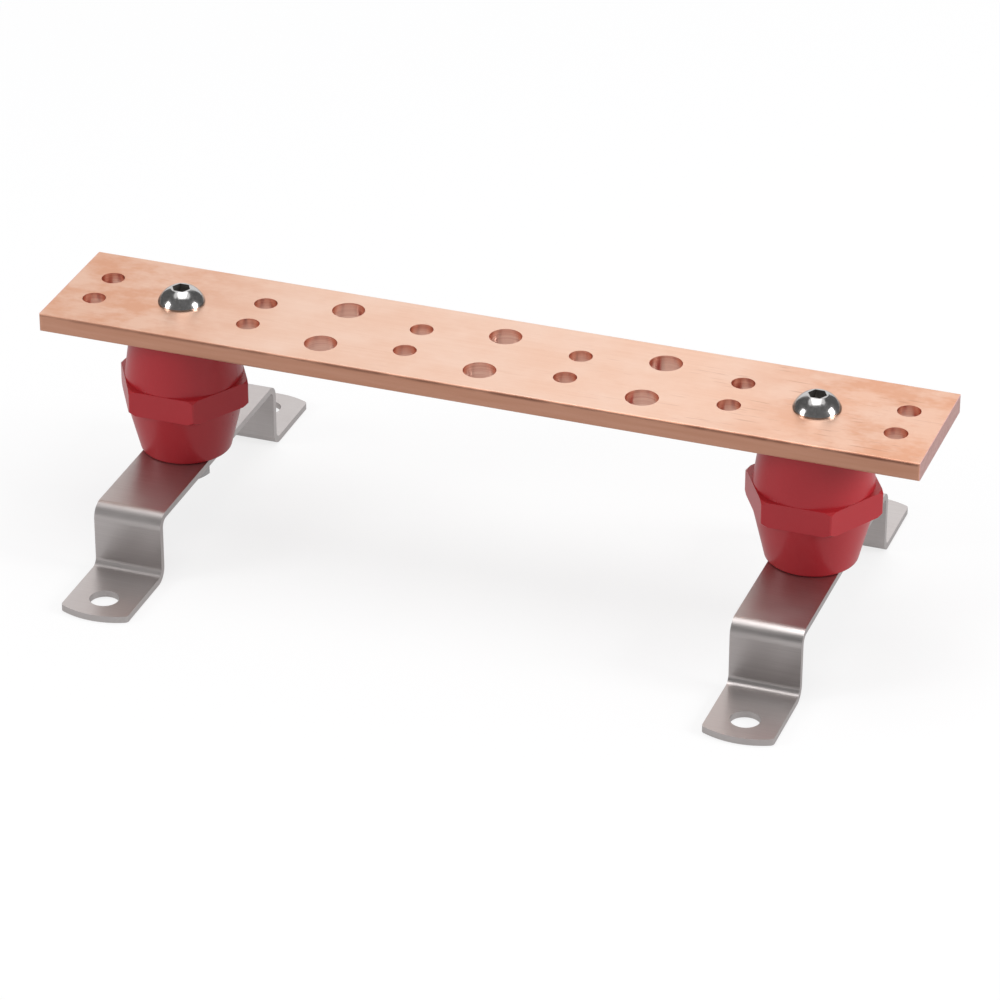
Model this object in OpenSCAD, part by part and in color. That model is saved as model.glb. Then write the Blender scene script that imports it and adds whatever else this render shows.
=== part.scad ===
// Earth terminal bar: a drilled copper bar screwed onto two moulded stand-off
// insulators, each bolted to a folded stainless strap with a foot at either end.
// +X runs along the bar, +Z points away from the wall, and the origin is the
// middle of the footprint on the mounting plane.

/* [Copper bar] */
// Length of the bar
bar_l = 304.8; // [230:0.1:900]
// Width of the bar
bar_w = 50.8; // [48:0.1:150]
// Thickness of the bar
bar_t = 6.35; // [4:0.05:12]
// Rounding of the bar's four long rolled edges
bar_edge_r = 0.9; // [0.2:0.1:1.6]
// Rounding of the bar's four corners, seen from above
bar_corner_r = 1.2; // [0.3:0.1:4]

/* [Lug holes] */
// Distance between neighbouring columns of holes
hole_pitch = 27.94; // [25:0.01:60]
// Least distance from the last column of holes to the end of the bar
end_margin = 12; // [10:0.5:40]
// Diameter of the smaller lug holes
small_hole_d = 7.94; // [4:0.01:11]
// Distance across the bar between the two holes of a small pair
small_hole_gap = 15.875; // [13:0.005:32]
// Diameter of the larger lug holes
large_hole_d = 11.11; // [6:0.01:13]
// Distance across the bar between the two holes of a large pair
large_hole_gap = 25.4; // [16:0.1:32]

/* [Insulators] */
// Distance from an end of the bar to the middle of its insulator
insulator_inset = 41.275; // [30:0.005:60]
// Height of an insulator between its end faces
insulator_h = 48; // [42:0.1:120]
// Diameter of the end face that stands on the bracket
insulator_foot_d = 30.9; // [24:0.1:36]
// Diameter of the end face that carries the bar
insulator_top_d = 34.6; // [24:0.1:36]
// Diameter at the thick end of each cone, where it meets the hexagonal band
insulator_waist_d = 40.2; // [36.5:0.1:44]
// Rounding of the rim round each end face
insulator_rim_r = 0.9; // [0.3:0.1:2]
// Height from the lower end face to the hexagonal band that a spanner holds
hex_band_level = 18.9; // [12:0.1:24]
// Height of the hexagonal band
hex_band_h = 9; // [5:0.1:18]
// Width of the hexagonal band across its flats
hex_band_af = 40.6; // [39:0.1:60]
// Bevel on the band's six corners, top and bottom
hex_bevel = 0.9; // [0.2:0.1:2]
// Depth that the band's six upright edges are trimmed by
hex_trim = 0.15; // [0.05:0.05:0.6]

/* [Threaded inserts] */
// Width across flats of the hexagonal brass inserts
insert_af = 14.3; // [13:0.1:18]
// Solid brass left behind the blind threaded hole
insert_floor = 2; // [1:0.1:4]
// Depth of the locking groove turned round each insert
insert_groove = 0.9; // [0.3:0.1:1.2]
// Height of that groove
insert_groove_h = 4; // [2:0.1:8]

/* [Brackets] */
// Width of the strap that the brackets are folded from
strap_w = 24; // [20:0.1:40]
// Thickness of the strap
strap_t = 2.3; // [1.5:0.1:4]
// Inside radius of all four bends
bend_r = 2.7; // [1:0.1:5]
// Height from the mounting plane to the top of the raised platform
bracket_h = 24.4; // [22:0.1:60]
// Length of the raised part, outside to outside of its legs
hat_l = 102; // [60:0.1:122]
// Overall length of a bracket, foot end to foot end
bracket_l = 165; // [148:0.1:240]
// Radius of the rounded foot ends
foot_end_r = 26; // [18:0.5:60]
// Rounding of the foot's corners
foot_corner_r = 1.6; // [0.5:0.1:4]
// Diameter of the fixing hole in each foot
foot_hole_d = 10; // [5:0.1:12]
// Distance from the end of a foot to the middle of its fixing hole
foot_hole_inset = 11.2; // [8:0.1:22]

/* [Screws, bolts and washers] */
// Thread diameter of the bar screws and bracket bolts
thread_d = 9.53; // [6:0.01:10]
// Length of thread held in an insert
thread_bite = 12.7; // [8:0.1:15]
// Play between a screw and the hole that it passes through
hole_play = 0.8; // [0.3:0.1:1.5]
// Play between a screw's crest circle and the insert's hole
thread_play = 0.12; // [0.06:0.01:0.3]
// Space left beyond the tip of a screw in its insert
tip_gap = 1.5; // [0.5:0.1:3]
// Diameter of the domed head of a bar screw
head_d = 16; // [13:0.01:20]
// Height of the domed head
head_h = 5.05; // [4:0.05:8]
// Height of the straight rim under the dome
head_rim_h = 0.5; // [0.2:0.1:1.5]
// Diameter of the flat on top of the dome
head_flat_d = 7.2; // [6.8:0.1:9]
// Width across flats of the hexagonal socket
socket_af = 5.56; // [3:0.01:6]
// Depth of the socket
socket_depth = 3.1; // [2:0.1:3.5]
// Width across flats of a bracket bolt's head
bolt_af = 14.29; // [12:0.01:17]
// Height of a bracket bolt's head
bolt_head_h = 6.1; // [4:0.1:8]
// Height of the round bearing face under the bolt's head
bolt_face_h = 0.4; // [0.2:0.1:1]
// Outside diameter of a spring lock washer
washer_d = 17.2; // [15:0.1:22]
// Thickness of a spring lock washer
washer_t = 2.4; // [1:0.1:3]
// Width of the split in a lock washer
washer_split = 1.2; // [0.5:0.1:2]
// Slant of the split from the washer's axis, in degrees
washer_slant = 25; // [10:1:35]

/* [Hidden] */
$fn = 96;

hexagon = 6;
left = -1;
right = 1;
over = 1; // how far a cut runs past the face that it opens

copper = [0.87, 0.62, 0.48];
polyester = [0.66, 0.16, 0.18];
stainless = [0.72, 0.70, 0.68];
brass = [0.78, 0.66, 0.36];

// Columns of lug holes are counted from 0 at the middle of the bar
last_column = floor((bar_l / 2 - end_margin) / hole_pitch);
insulator_x = bar_l / 2 - insulator_inset;

// Levels of the stack, from the mounting plane up
platform_top = bracket_h;
platform_under = platform_top - strap_t;
bar_under = platform_top + insulator_h;
bar_top = bar_under + bar_t;

clear_d = thread_d + hole_play;
insert_hole_depth = thread_bite + tip_gap;
insert_h = insert_hole_depth + insert_floor;
tip_bevel = thread_d / 10;

// Radius of the circle through the corners of a hexagon, from its width across flats
function corner_r(across_flats) = across_flats / 2 / cos(180 / hexagon);

module hex_prism(across_flats, h)
{
    cylinder(r = corner_r(across_flats), h = h, $fn = hexagon);
}

module beside(side)
{
    translate([side * insulator_x, 0, 0]) children();
}

// ---- copper bar ----

// Rectangle with rounded corners, its middle at the origin
module rounded_rectangle(width, height, corner)
{
    square([width - 2 * corner, height], center = true);
    square([width, height - 2 * corner], center = true);
    for (x = [left, right], y = [left, right])
        translate([x * (width / 2 - corner), y * (height / 2 - corner)]) circle(r = corner);
}

// The bar before it is drilled, its underside at z = 0: rolled edges along its
// length, and corners that are rounded in plan
module bar_blank()
{
    intersection() {
        translate([-bar_l / 2, 0, bar_t / 2]) rotate([90, 0, 90])
            linear_extrude(bar_l) rounded_rectangle(bar_w, bar_t, bar_edge_r);
        linear_extrude(bar_t) rounded_rectangle(bar_l, bar_w, bar_corner_r);
    }
}

module bar_hole(x, y, d)
{
    translate([x, y, -over]) cylinder(d = d, h = bar_t + 2 * over);
}

// Whether a pair of lug holes at x is clear of the insulators under the bar
function clear_of_insulators(x) = abs(abs(x) - insulator_x) > (insulator_top_d + large_hole_d) / 2;

// Pairs of small holes on the odd columns and pairs of large holes on the even ones,
// left out over the insulators, which have one screw hole each on the centreline
module bar_holes()
{
    for (column = [-last_column : last_column]) {
        x = column * hole_pitch;
        if (clear_of_insulators(x)) {
            odd = abs(column) % 2 == 1;
            gap = odd ? small_hole_gap : large_hole_gap;
            for (side = [left, right]) bar_hole(x, side * gap / 2, odd ? small_hole_d : large_hole_d);
        }
    }
    for (side = [left, right]) bar_hole(side * insulator_x, 0, clear_d);
}

module ground_bar()
{
    color(copper) translate([0, 0, bar_under]) difference() {
        bar_blank();
        bar_holes();
    }
}

// ---- insulators and their inserts ----

upper_cone_h = insulator_h - hex_band_level - hex_band_h;

// Half-section of a cone, its end face down and its rim rounded into the wall. It
// runs straight on from the thick end, to the middle of the hexagonal band
module cone_section(end_d, cone_h)
{
    waist_r = insulator_waist_d / 2;
    middle_z = cone_h + hex_band_h / 2;
    lean = atan((waist_r - end_d / 2) / cone_h);
    rim_x = end_d / 2 + insulator_rim_r * (tan(lean) - 1 / cos(lean));
    wall_x = rim_x + insulator_rim_r * cos(lean);
    wall_z = insulator_rim_r * (1 - sin(lean));
    polygon([[0, 0], [rim_x, 0], [wall_x, wall_z], [waist_r, cone_h],
             [waist_r, middle_z], [0, middle_z]]);
    translate([rim_x, insulator_rim_r]) circle(r = insulator_rim_r);
}

// The band is a hexagonal prism whose corners are bevelled like those of a nut
module hex_band()
{
    band_r = corner_r(hex_band_af) - hex_trim;
    translate([0, 0, hex_band_level]) intersection() {
        hex_prism(hex_band_af, hex_band_h);
        rotate_extrude() polygon([
            [0, 0], [band_r - hex_bevel, 0], [band_r, hex_bevel],
            [band_r, hex_band_h - hex_bevel], [band_r - hex_bevel, hex_band_h], [0, hex_band_h]]);
    }
}

// Outside of an insert, its open end at z = 0 and its closed end above, with a
// groove turned round the middle that keys it into the moulding
module insert_body()
{
    groove_r = insert_af / 2 - insert_groove;
    difference() {
        hex_prism(insert_af, insert_h);
        translate([0, 0, (insert_h - insert_groove_h) / 2]) difference() {
            cylinder(r = insert_af, h = insert_groove_h);
            translate([0, 0, -over]) cylinder(r = groove_r, h = insert_groove_h + 2 * over);
        }
    }
}

module insert()
{
    difference() {
        insert_body();
        translate([0, 0, -over]) cylinder(d = thread_d + thread_play, h = insert_hole_depth + over);
    }
}

// Turns what opens downwards at z = 0 over, so that it opens upwards at the top end
module at_top_end()
{
    translate([0, 0, insulator_h]) mirror([0, 0, 1]) children();
}

// Stands what is built from z = 0 up on a bracket's platform
module on_platform(side)
{
    beside(side) translate([0, 0, platform_top]) children();
}

module insulator(side)
{
    color(polyester) on_platform(side) difference() {
        union() {
            rotate_extrude() cone_section(insulator_foot_d, hex_band_level);
            at_top_end() rotate_extrude() cone_section(insulator_top_d, upper_cone_h);
            hex_band();
        }
        insert_body();
        at_top_end() insert_body();
    }
}

module lower_insert(side)
{
    color(brass) on_platform(side) insert();
}

module upper_insert(side)
{
    color(brass) on_platform(side) at_top_end() insert();
}

// ---- brackets ----

half_hat = hat_l / 2;
bend_outer_r = bend_r + strap_t;
half_bracket = bracket_l / 2;
foot_hole_y = half_bracket - foot_hole_inset;

// A quarter of a ring, the outline of a bend, in the quadrant that qx and qy give
module bend(qx, qy)
{
    intersection() {
        difference() {
            circle(r = bend_outer_r);
            circle(r = bend_r);
        }
        translate([min(qx, 0) * bend_outer_r, min(qy, 0) * bend_outer_r]) square(bend_outer_r);
    }
}

// Edge-on outline of the folded strap, from the middle of the platform to one foot
module half_hat_section()
{
    upper_bend = [half_hat - bend_outer_r, platform_top - bend_outer_r];
    lower_bend = [half_hat + bend_r, bend_outer_r];
    translate([0, platform_under]) square([upper_bend[0], strap_t]);
    translate(upper_bend) bend(1, 1);
    translate([half_hat - strap_t, lower_bend[1]]) square([strap_t, upper_bend[1] - lower_bend[1]]);
    translate(lower_bend) bend(-1, -1);
    translate([lower_bend[0], 0]) square([half_bracket - lower_bend[0], strap_t]);
}

// Half of the strap's outline seen from above, with the foot's end an arc that runs
// into the straight sides through two small corner arcs
module half_strap_plan()
{
    corner_x = strap_w / 2 - foot_corner_r;
    end_y = half_bracket - foot_end_r;
    lean = asin(corner_x / (foot_end_r - foot_corner_r));
    corner_y = end_y + (foot_end_r - foot_corner_r) * cos(lean);
    reach = 2 * foot_end_r;
    translate([-strap_w / 2, 0]) square([strap_w, corner_y]);
    for (side = [left, right]) translate([side * corner_x, corner_y]) circle(r = foot_corner_r);
    translate([0, end_y]) intersection() {
        circle(r = foot_end_r);
        polygon([[0, 0], [reach * sin(lean), reach * cos(lean)], [-reach * sin(lean), reach * cos(lean)]]);
    }
}

module half_bracket_solid()
{
    intersection() {
        translate([-strap_w / 2, 0, 0]) rotate([90, 0, 90]) linear_extrude(strap_w) half_hat_section();
        linear_extrude(bracket_h) half_strap_plan();
    }
}

module bracket(side)
{
    color(stainless) beside(side) difference() {
        union() {
            half_bracket_solid();
            mirror([0, 1, 0]) half_bracket_solid();
        }
        translate([0, 0, platform_under - over]) cylinder(d = clear_d, h = strap_t + 2 * over);
        for (end = [left, right]) translate([0, end * foot_hole_y, -over])
            cylinder(d = foot_hole_d, h = strap_t + 2 * over);
    }
}

// ---- screws, bolts and washers ----

// Threaded shank from z = 0 down, its tip bevelled
module shank(length)
{
    translate([0, 0, -length]) {
        cylinder(d1 = thread_d - 2 * tip_bevel, d2 = thread_d, h = tip_bevel);
        translate([0, 0, tip_bevel]) cylinder(d = thread_d, h = length - tip_bevel);
    }
}

// Low domed head: a slice of a sphere through the rim and the edge of the top flat
module domed_head()
{
    rim_r = head_d / 2;
    flat_r = head_flat_d / 2;
    centre_z = (flat_r * flat_r + head_h * head_h - rim_r * rim_r - head_rim_h * head_rim_h)
               / 2 / (head_h - head_rim_h);
    dome_r = norm([flat_r, head_h - centre_z]);
    difference() {
        rotate_extrude() intersection() {
            translate([0, centre_z]) circle(r = dome_r);
            square([rim_r, head_h]);
        }
        translate([0, 0, head_h - socket_depth]) hex_prism(socket_af, socket_depth + over);
    }
}

module bar_screw(side)
{
    color(stainless) beside(side) translate([0, 0, bar_top]) {
        domed_head();
        shank(bar_t + thread_bite);
    }
}

// Hexagonal head below z = 0, its outer corners bevelled, on a thin round bearing face
module bolt_head()
{
    corner = corner_r(bolt_af);
    bevel_h = (corner - bolt_af / 2) * tan(30);
    translate([0, 0, -bolt_face_h]) cylinder(d = bolt_af, h = bolt_face_h);
    translate([0, 0, -bolt_head_h]) intersection() {
        hex_prism(bolt_af, bolt_head_h - bolt_face_h);
        union() {
            cylinder(r1 = bolt_af / 2, r2 = corner, h = bevel_h);
            translate([0, 0, bevel_h]) cylinder(r = corner, h = bolt_head_h);
        }
    }
}

module bracket_bolt(side)
{
    color(stainless) beside(side) translate([0, 0, platform_under - washer_t]) {
        bolt_head();
        mirror([0, 0, 1]) shank(washer_t + strap_t + thread_bite);
    }
}

// Spring washer, tightened flat, with a slanted split
module lock_washer(side)
{
    color(stainless) beside(side) translate([0, 0, platform_under - washer_t]) difference() {
        cylinder(d = washer_d, h = washer_t);
        translate([0, 0, -over]) cylinder(d = clear_d, h = washer_t + 2 * over);
        translate([0, -washer_d / 2, washer_t / 2]) rotate([0, washer_slant, 0])
            cube([washer_split, washer_d, 3 * washer_t], center = true);
    }
}

ground_bar();
bar_screw(left);  // bar_screw_left
bar_screw(right);  // bar_screw_right
insulator(left);  // insulator_left
insulator(right);  // insulator_right
upper_insert(left);  // upper_insert_left
upper_insert(right);  // upper_insert_right
lower_insert(left);  // lower_insert_left
lower_insert(right);  // lower_insert_right
bracket(left);  // bracket_left
bracket(right);  // bracket_right
lock_washer(left);  // lock_washer_left
lock_washer(right);  // lock_washer_right
bracket_bolt(left);  // bracket_bolt_left
bracket_bolt(right);  // bracket_bolt_right
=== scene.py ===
import math

import bpy
from mathutils import Matrix, Vector


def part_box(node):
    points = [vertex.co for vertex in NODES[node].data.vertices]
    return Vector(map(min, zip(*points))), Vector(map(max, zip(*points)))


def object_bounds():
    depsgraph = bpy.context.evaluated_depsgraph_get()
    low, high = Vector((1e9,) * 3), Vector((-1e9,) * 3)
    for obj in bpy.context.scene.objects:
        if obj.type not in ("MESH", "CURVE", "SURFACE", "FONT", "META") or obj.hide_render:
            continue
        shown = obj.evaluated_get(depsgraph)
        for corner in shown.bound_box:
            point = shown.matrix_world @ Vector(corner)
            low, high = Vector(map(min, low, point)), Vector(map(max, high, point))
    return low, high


# An earth terminal bar: a drilled copper bar on two red moulded insulators, each on a
# folded stainless strap. Every shape comes from the frame; this script finishes the
# surfaces and sets up the studio. Metres, with +X along the bar and +Z up off the feet.

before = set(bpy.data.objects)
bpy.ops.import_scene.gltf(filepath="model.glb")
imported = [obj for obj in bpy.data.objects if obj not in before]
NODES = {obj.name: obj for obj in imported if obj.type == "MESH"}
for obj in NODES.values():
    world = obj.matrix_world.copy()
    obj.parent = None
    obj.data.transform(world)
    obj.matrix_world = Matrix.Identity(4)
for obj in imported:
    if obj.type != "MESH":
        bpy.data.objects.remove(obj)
CAD_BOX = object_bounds()

BAR_LOW, BAR_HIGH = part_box("ground_bar")
BAR_TOP = Vector((0, 0, BAR_HIGH.z))
SCREW_LOW, SCREW_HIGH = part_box("bar_screw_right")
SCREW_X = (SCREW_LOW.x + SCREW_HIGH.x) / 2

# ---- camera ----

CAMERA_AZIMUTH = math.radians(19.69)
CAMERA_ELEVATION = math.radians(29.33)
CAMERA_ROLL = math.radians(0.12)
CAMERA_DISTANCE = 1.5574  # from the middle of the bar's top face
CAMERA_OFFSET = (0.0024, -0.0483)  # of that point from the middle of the view, right and up
FOCAL_LENGTH = 170.3  # mm, on a sensor 36 mm wide


def add_camera():
    """A long lens that looks down the slope at the bar, rolled a touch."""
    back = Vector((math.sin(CAMERA_AZIMUTH) * math.cos(CAMERA_ELEVATION),
                   -math.cos(CAMERA_AZIMUTH) * math.cos(CAMERA_ELEVATION),
                   math.sin(CAMERA_ELEVATION)))
    right = Vector((0, 0, 1)).cross(back).normalized()
    turn = Matrix.Rotation(CAMERA_ROLL, 3, back)
    right = turn @ right
    up = back.cross(right)
    camera = bpy.data.objects.new("camera", bpy.data.cameras.new("camera"))
    camera.data.lens = FOCAL_LENGTH
    camera.data.sensor_width = 36
    camera.data.clip_end = 20
    camera.matrix_world = Matrix((right, up, back)).transposed().to_4x4()
    camera.location = BAR_TOP + CAMERA_OFFSET[0] * right + CAMERA_OFFSET[1] * up + CAMERA_DISTANCE * back
    bpy.context.scene.collection.objects.link(camera)
    bpy.context.scene.camera = camera


# ---- node helpers ----


class Graph:
    """A material's or world's node tree, built by naming each node's inputs."""

    def __init__(self, owner):
        owner.use_nodes = True
        self.tree = owner.node_tree
        self.tree.nodes.clear()

    def add(self, kind, inputs=(), **settings):
        """A node with its settings, and its inputs as values or as sockets to link."""
        node = self.tree.nodes.new(kind)
        for name, value in settings.items():
            setattr(node, name, value)
        for name, value in dict(inputs).items():
            if isinstance(value, bpy.types.NodeSocket):
                self.tree.links.new(value, node.inputs[name])
            else:
                node.inputs[name].default_value = value
        return node

    def math(self, operation, a, b=0.0, clamp=False):
        return self.add("ShaderNodeMath", {0: a, 1: b}, operation=operation, use_clamp=clamp).outputs[0]

    def position(self):
        """The point in the row's frame, in metres."""
        return self.add("ShaderNodeTexCoord").outputs["Object"]

    def scaled(self, vector, scale):
        return self.add("ShaderNodeMapping", {"Vector": vector, "Scale": scale}).outputs[0]

    def noise(self, vector, scale=(1, 1, 1), detail=2.0, roughness=0.5):
        """Noise from 0 to 1. scale is how many swells there are to a metre along each axis."""
        return self.add("ShaderNodeTexNoise",
                        {"Vector": self.scaled(vector, scale), "Scale": 1.0,
                         "Detail": detail, "Roughness": roughness}).outputs[0]

    def normal_z(self):
        """The upward share of the surface's own normal."""
        normal = self.add("ShaderNodeNewGeometry").outputs["True Normal"]
        return self.add("ShaderNodeSeparateXYZ", {0: normal}).outputs[2]

    def remap(self, value, low, high, to_low=0.0, to_high=1.0):
        return self.add("ShaderNodeMapRange", {"Value": value, "From Min": low, "From Max": high,
                                               "To Min": to_low, "To Max": to_high}).outputs[0]

    def mix(self, factor, a, b):
        node = self.add("ShaderNodeMix", data_type="RGBA")
        for socket, value in zip((node.inputs[0], node.inputs[6], node.inputs[7]), (factor, a, b)):
            if isinstance(value, bpy.types.NodeSocket):
                self.tree.links.new(value, socket)
            else:
                socket.default_value = value
        return node.outputs[2]

    def mix_number(self, factor, a, b):
        return self.add("ShaderNodeMix", {0: factor, 2: a, 3: b}).outputs[0]

    def bump(self, height, depth, normal=None):
        """A normal from a height of 0 to 1 that stands for that depth in metres."""
        inputs = {"Height": height, "Strength": 1.0, "Distance": depth}
        if normal:
            inputs["Normal"] = normal
        return self.add("ShaderNodeBump", inputs).outputs[0]

    def surface(self, **inputs):
        shader = self.add("ShaderNodeBsdfPrincipled", {k.replace("_", " "): v for k, v in inputs.items()})
        self.tree.links.new(shader.outputs[0], self.add("ShaderNodeOutputMaterial").inputs[0])
        return shader


def material(name):
    made = bpy.data.materials.new(name)
    return made, Graph(made)


# ---- studio ----

BACKGROUND = (1.0, 1.0, 1.0, 1)
FLOOR_SIZE = 14.0
FLOOR_DROP = 0.0002  # from the feet down to the floor
FLOOR_PAPER = (0.90, 0.90, 0.90, 1)
FLOOR_BOUNCE = (0.42, 0.42, 0.42, 1)  # the paper's tone in the light that it throws back at the object
FLOOR_LIFT = 0.74  # how much of the floor's look is plain white and how much takes shadows
MIRRORED_LIFT = 0.36  # the same, for the floor as metal and gloss mirror it
ROOM_LIGHT = (0.60, 0.60, 0.61, 1)

LAMP_DISTANCE = 1.9
FLAG_DISTANCE = 2.8
FLAG_COLUMNS, FLAG_ROWS = 16, 12


def shown_white(graph, mirrored=1.0):
    """1 for the rays that show the background to the camera, that share for those that
    show it in metal and gloss, and 0 for those that light the object."""
    path = graph.add("ShaderNodeLightPath")
    bounced = graph.math("ADD", path.outputs["Is Glossy Ray"], path.outputs["Is Transmission Ray"],
                         clamp=True)
    return graph.math("ADD", path.outputs["Is Camera Ray"], graph.math("MULTIPLY", bounced, mirrored),
                      clamp=True)


def add_floor():
    mesh = bpy.data.meshes.new("floor")
    half = FLOOR_SIZE / 2
    corners = [(-half, -half, 0), (half, -half, 0), (half, half, 0), (-half, half, 0)]
    mesh.from_pydata(corners, [], [(0, 1, 2, 3)])
    floor = bpy.data.objects.new("floor", mesh)
    floor.location.z = CAD_BOX[0].z - FLOOR_DROP
    bpy.context.scene.collection.objects.link(floor)
    made, g = material("floor_paper")
    camera_ray = g.add("ShaderNodeLightPath").outputs["Is Camera Ray"]
    lit = g.add("ShaderNodeBsdfDiffuse", {"Color": g.mix(camera_ray, FLOOR_BOUNCE, FLOOR_PAPER)})
    white = g.add("ShaderNodeEmission", {"Color": BACKGROUND, "Strength": 1.0})
    lift = g.math("MULTIPLY", shown_white(g, MIRRORED_LIFT / FLOOR_LIFT), FLOOR_LIFT)
    both = g.add("ShaderNodeMixShader", {0: lift})
    g.tree.links.new(lit.outputs[0], both.inputs[1])
    g.tree.links.new(white.outputs[0], both.inputs[2])
    g.tree.links.new(both.outputs[0], g.add("ShaderNodeOutputMaterial").inputs[0])
    mesh.materials.append(made)


def add_room():
    world = bpy.data.worlds.new("room")
    bpy.context.scene.world = world
    g = Graph(world)
    color = g.mix(shown_white(g), ROOM_LIGHT, BACKGROUND)
    background = g.add("ShaderNodeBackground", {"Color": color, "Strength": 1.0})
    g.tree.links.new(background.outputs[0], g.add("ShaderNodeOutputWorld").inputs[0])


def add_softbox(name, direction, width, height, power):
    """A rectangular area light that looks at the middle of the object from that direction."""
    light = bpy.data.lights.new(name, "AREA")
    light.shape = "RECTANGLE"
    light.size, light.size_y = width, height
    light.energy = power
    lamp = bpy.data.objects.new(name, light)
    toward = Vector(direction).normalized()
    lamp.location = Vector((0, 0, BAR_LOW.z / 2)) + toward * LAMP_DISTANCE
    lamp.rotation_euler = toward.to_track_quat("Z", "Y").to_euler()
    bpy.context.scene.collection.objects.link(lamp)


def add_flag(name, azimuths, elevations, tone):
    """A grey studio wall that polished metal mirrors, curved round the object. It spans
    those degrees, turned from the camera's azimuth, and only reflections see it."""
    (az_start, az_end), (el_start, el_end) = azimuths, elevations
    points = [FLAG_DISTANCE * Vector(from_camera(az_start + (az_end - az_start) * i / FLAG_COLUMNS,
                                                 el_start + (el_end - el_start) * j / FLAG_ROWS))
              for j in range(FLAG_ROWS + 1) for i in range(FLAG_COLUMNS + 1)]
    wide = FLAG_COLUMNS + 1
    faces = [(j * wide + i, j * wide + i + 1, (j + 1) * wide + i + 1, (j + 1) * wide + i)
             for j in range(FLAG_ROWS) for i in range(FLAG_COLUMNS)]
    mesh = bpy.data.meshes.new(name)
    mesh.from_pydata(points, [], faces)
    flag = bpy.data.objects.new(name, mesh)
    bpy.context.scene.collection.objects.link(flag)
    made, g = material(name)
    lit = g.add("ShaderNodeEmission", {"Color": (tone, tone, tone, 1), "Strength": 1.0})
    g.tree.links.new(lit.outputs[0], g.add("ShaderNodeOutputMaterial").inputs[0])
    mesh.materials.append(made)
    flag.visible_camera = False
    flag.visible_diffuse = False
    flag.visible_shadow = False


def from_camera(azimuth, elevation):
    """A direction out of the object, turned from the camera's azimuth, in degrees."""
    a, e = CAMERA_AZIMUTH + math.radians(azimuth), math.radians(elevation)
    return (math.sin(a) * math.cos(e), -math.cos(a) * math.cos(e), math.sin(e))


def add_studio():
    add_floor()
    add_room()
    add_softbox("right_softbox", from_camera(74, 23), 0.62, 0.66, 16)
    add_softbox("left_softbox", from_camera(-74, 23), 0.58, 0.62, 9)
    add_softbox("top_softbox", from_camera(180, 84), 1.1, 1.6, 12)
    add_flag("front_flag", (-62, 62), (8, 76), 0.18)
    add_flag("right_flag", (62, 150), (1, 60), 0.14)
    add_flag("left_flag", (-150, -62), (1, 60), 0.14)


# ---- finishes ----

BAR_EDGE = 0.0006  # how far in from the bar's sides the sheared finish starts
BAR_END = 0.0002  # and from its ends the sawn one
SOCKET_REACH = 0.0033  # out to just past the corners of a screw's socket
SOCKET_SINK = 0.00004  # down to just under the flat round it


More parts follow.
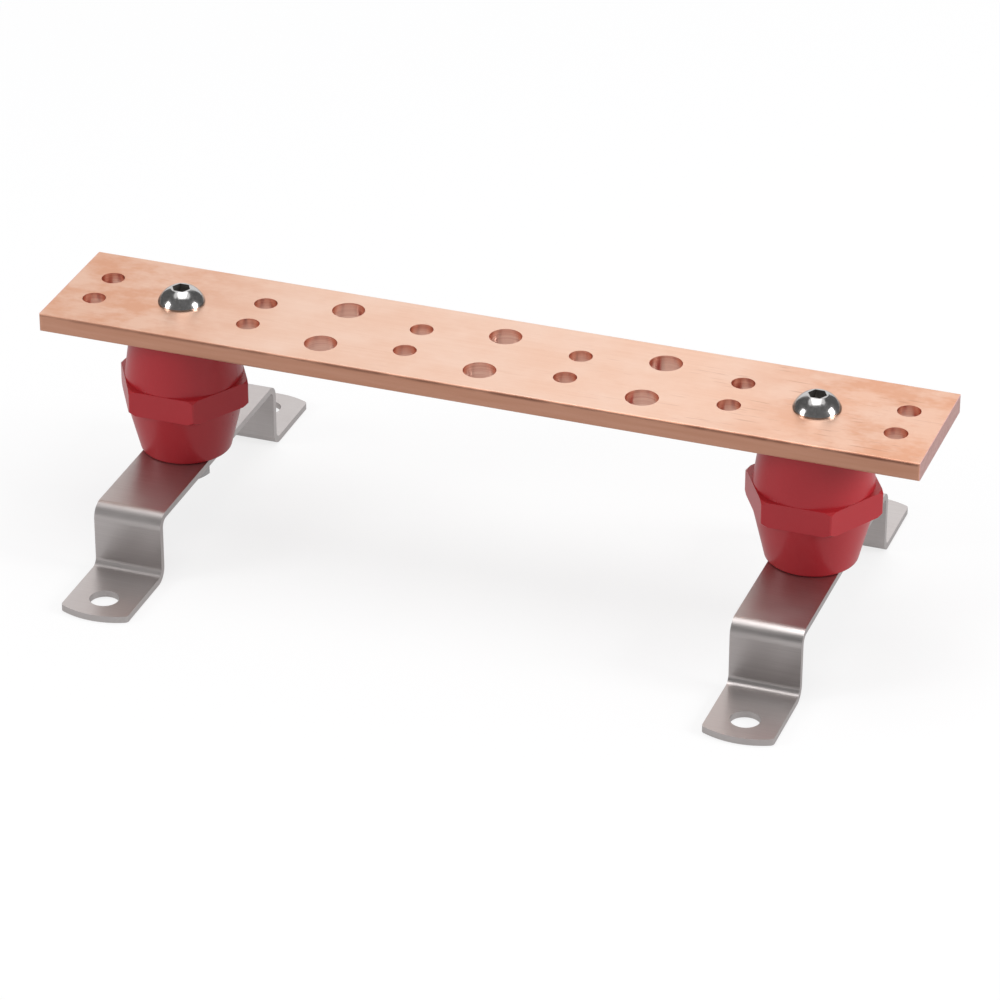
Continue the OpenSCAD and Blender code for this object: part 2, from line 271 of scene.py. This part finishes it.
def copper():
    """Mill-finish copper: a peach sheen with faint rolling lines and orange clouds and
    scratches near the ends, plain sheared sides with a painted dark reflection as a line
    under the top edge, and drilled holes with tool rings."""
    made, g = material("mill_copper")
    p = g.position()
    x, y, z = g.add("ShaderNodeSeparateXYZ", {0: p}).outputs
    across = g.math("ABSOLUTE", y)
    along = g.math("ABSOLUTE", x)
    upright = g.math("LESS_THAN", g.math("ABSOLUTE", g.normal_z()), 0.5)
    side = g.math("GREATER_THAN", across, BAR_HIGH.y - BAR_EDGE)
    end = g.math("GREATER_THAN", along, BAR_HIGH.x - BAR_END)
    outside = g.math("MAXIMUM", side, end)
    hole = g.math("MULTIPLY", upright, g.math("SUBTRACT", 1.0, outside))

    clouds = g.noise(p, (42, 60, 60), detail=4, roughness=0.6)
    grain = g.noise(p, (24, 1300, 1300), detail=3, roughness=0.6)
    face = g.mix(g.remap(clouds, 0.36, 0.64), (0.80, 0.52, 0.39, 1), (0.85, 0.59, 0.465, 1))
    face = g.mix(g.remap(grain, 0.35, 0.70, 0.0, 0.25), face, (0.90, 0.66, 0.55, 1))
    handled = g.math("MULTIPLY", g.remap(along, 0.072, 0.118, 0.0, 0.9),
                     g.remap(g.noise(p, (52, 80, 60), detail=4, roughness=0.65), 0.40, 0.60, 0.3, 1.0))
    face = g.mix(handled, face, (0.71, 0.36, 0.225, 1))
    scratches = g.remap(g.noise(p, (70, 900, 900), detail=2, roughness=0.6), 0.63, 0.72, 0.0, 0.55)
    scratched = g.math("MULTIPLY", scratches, g.remap(x, 0.0, 0.12, 0.15, 1.0))
    face = g.mix(scratched, face, (0.50, 0.24, 0.16, 1))

    streaks = g.noise(p, (30, 500, 700), detail=3, roughness=0.5)
    sheared = g.mix(g.remap(streaks, 0.3, 0.7), (0.66, 0.33, 0.22, 1), (0.72, 0.38, 0.265, 1))
    # painted dark reflection: a dark line just under the rounded top edge, stronger towards +X, stands in
    # for the dark studio mirrored there
    edge_dark_reflection = g.math("MULTIPLY", g.remap(z, BAR_HIGH.z - 0.0013, BAR_HIGH.z - 0.0007),
                  g.remap(g.noise(p, (45, 30, 30), detail=3), 0.40, 0.56))
    edge_dark_reflection = g.math("MULTIPLY", edge_dark_reflection, g.remap(x, -0.15, 0.13, 0.35, 1.0))
    sheared = g.mix(edge_dark_reflection, sheared, (0.34, 0.15, 0.10, 1))
    sawn = g.mix(g.remap(streaks, 0.3, 0.7), (0.71, 0.40, 0.36, 1), (0.82, 0.50, 0.46, 1))

    rings = g.noise(p, (40, 40, 2600), detail=2, roughness=0.6)
    drilled = g.mix(g.remap(rings, 0.3, 0.7), (0.78, 0.40, 0.30, 1), (0.95, 0.60, 0.48, 1))

    color = g.mix(side, face, sheared)
    color = g.mix(end, color, sawn)
    color = g.mix(hole, color, drilled)
    roughness = g.mix_number(outside, g.remap(clouds, 0.3, 0.7, 0.42, 0.34), 0.42)
    roughness = g.mix_number(hole, roughness, 0.29)
    lines = g.bump(g.mix_number(hole, grain, rings), 0.000010)
    # light spreads across the rolling lines, and up and down the tool rings in the holes
    spread = g.add("ShaderNodeCombineXYZ", {1: g.math("SUBTRACT", 1.0, upright), 2: upright}).outputs[0]
    g.surface(Base_Color=color, Metallic=1.0, Roughness=roughness, Anisotropic=0.6, Tangent=spread,
              Normal=lines)
    return made


def polyester():
    """Glass-filled red moulding, semi-gloss, with a faint flow pattern."""
    made, g = material("red_polyester")
    p = g.position()
    flow = g.noise(p, (50, 50, 22), detail=3, roughness=0.5)
    speck = g.noise(p, (1500, 1500, 1500), detail=2, roughness=0.6)
    color = g.mix(g.remap(flow, 0.1, 0.9), (0.43, 0.017, 0.025, 1), (0.49, 0.022, 0.031, 1))
    color = g.mix(g.remap(speck, 0.1, 0.9, 0.0, 0.35), color, (0.50, 0.030, 0.040, 1))
    skin = g.bump(speck, 0.000004)
    g.surface(Base_Color=color, Roughness=g.remap(flow, 0.1, 0.9, 0.25, 0.35), Normal=skin)
    return made


def strap_steel():
    """Stainless strip, brushed across its width, so that light spreads along the strap."""
    made, g = material("brushed_strap")
    p = g.position()
    brush = g.noise(p, (30, 2200, 2200), detail=3, roughness=0.65)
    smudge = g.noise(p, (60, 45, 45), detail=3, roughness=0.6)
    color = g.mix(g.remap(brush, 0.3, 0.7), (0.55, 0.51, 0.50, 1), (0.61, 0.57, 0.56, 1))
    color = g.mix(g.remap(smudge, 0.35, 0.7, 0.0, 0.5), color, (0.53, 0.485, 0.475, 1))
    across = g.add("ShaderNodeCombineXYZ", {0: 1.0}).outputs[0]
    g.surface(Base_Color=color, Metallic=1.0, Roughness=g.remap(smudge, 0.3, 0.7, 0.33, 0.40),
              Anisotropic=0.5, Anisotropic_Rotation=0.25, Tangent=across, Normal=g.bump(brush, 0.000004))
    return made


def fastener_steel():
    """Cold-formed stainless, tumbled bright, rougher in the screws' sockets, and darkened there with
    painted shade.
    """
    made, g = material("bright_fastener")
    p = g.position()
    x, y, z = g.add("ShaderNodeSeparateXYZ", {0: p}).outputs
    tumble = g.noise(p, (900, 900, 900), detail=3, roughness=0.6)
    color = g.mix(g.remap(tumble, 0.3, 0.7), (0.50, 0.49, 0.485, 1), (0.60, 0.59, 0.585, 1))
    off_x = g.math("SUBTRACT", g.math("ABSOLUTE", x), SCREW_X)
    off_axis = g.math("SQRT", g.math("ADD", g.math("MULTIPLY", off_x, off_x), g.math("MULTIPLY", y, y)))
    in_head = g.math("MULTIPLY", g.math("LESS_THAN", z, SCREW_HIGH.z - SOCKET_SINK),
                     g.math("GREATER_THAN", z, BAR_HIGH.z))
    socket = g.math("MULTIPLY", g.math("LESS_THAN", off_axis, SOCKET_REACH), in_head)
    # painted shade: the socket recess gets a darker colour, and a rougher finish
    color = g.mix(socket, color, (0.30, 0.29, 0.28, 1))
    roughness = g.mix_number(socket, g.remap(tumble, 0.3, 0.7, 0.13, 0.21), 0.42)
    g.surface(Base_Color=color, Metallic=1.0, Roughness=roughness, Normal=g.bump(tumble, 0.000003))
    return made


def insert_brass():
    """Turned brass with fine tool rings."""
    made, g = material("turned_brass")
    p = g.position()
    rings = g.noise(p, (120, 120, 5000), detail=1)
    color = g.mix(g.remap(rings, 0.3, 0.7), (0.60, 0.43, 0.17, 1), (0.72, 0.54, 0.25, 1))
    g.surface(Base_Color=color, Metallic=1.0, Roughness=0.28, Normal=g.bump(rings, 0.000006))
    return made


def finish_surfaces():
    finishes = {"copper": copper(), "red_polyester": polyester(), "stainless_strap": strap_steel(),
                "stainless_fastener": fastener_steel(), "brass": insert_brass()}
    for node in NODES.values():
        for place in node.material_slots:
            place.material = finishes[place.material.name.split(".")[0]]


add_camera()
add_studio()
finish_surfaces()

bpy.context.scene.view_settings.view_transform = "Standard"
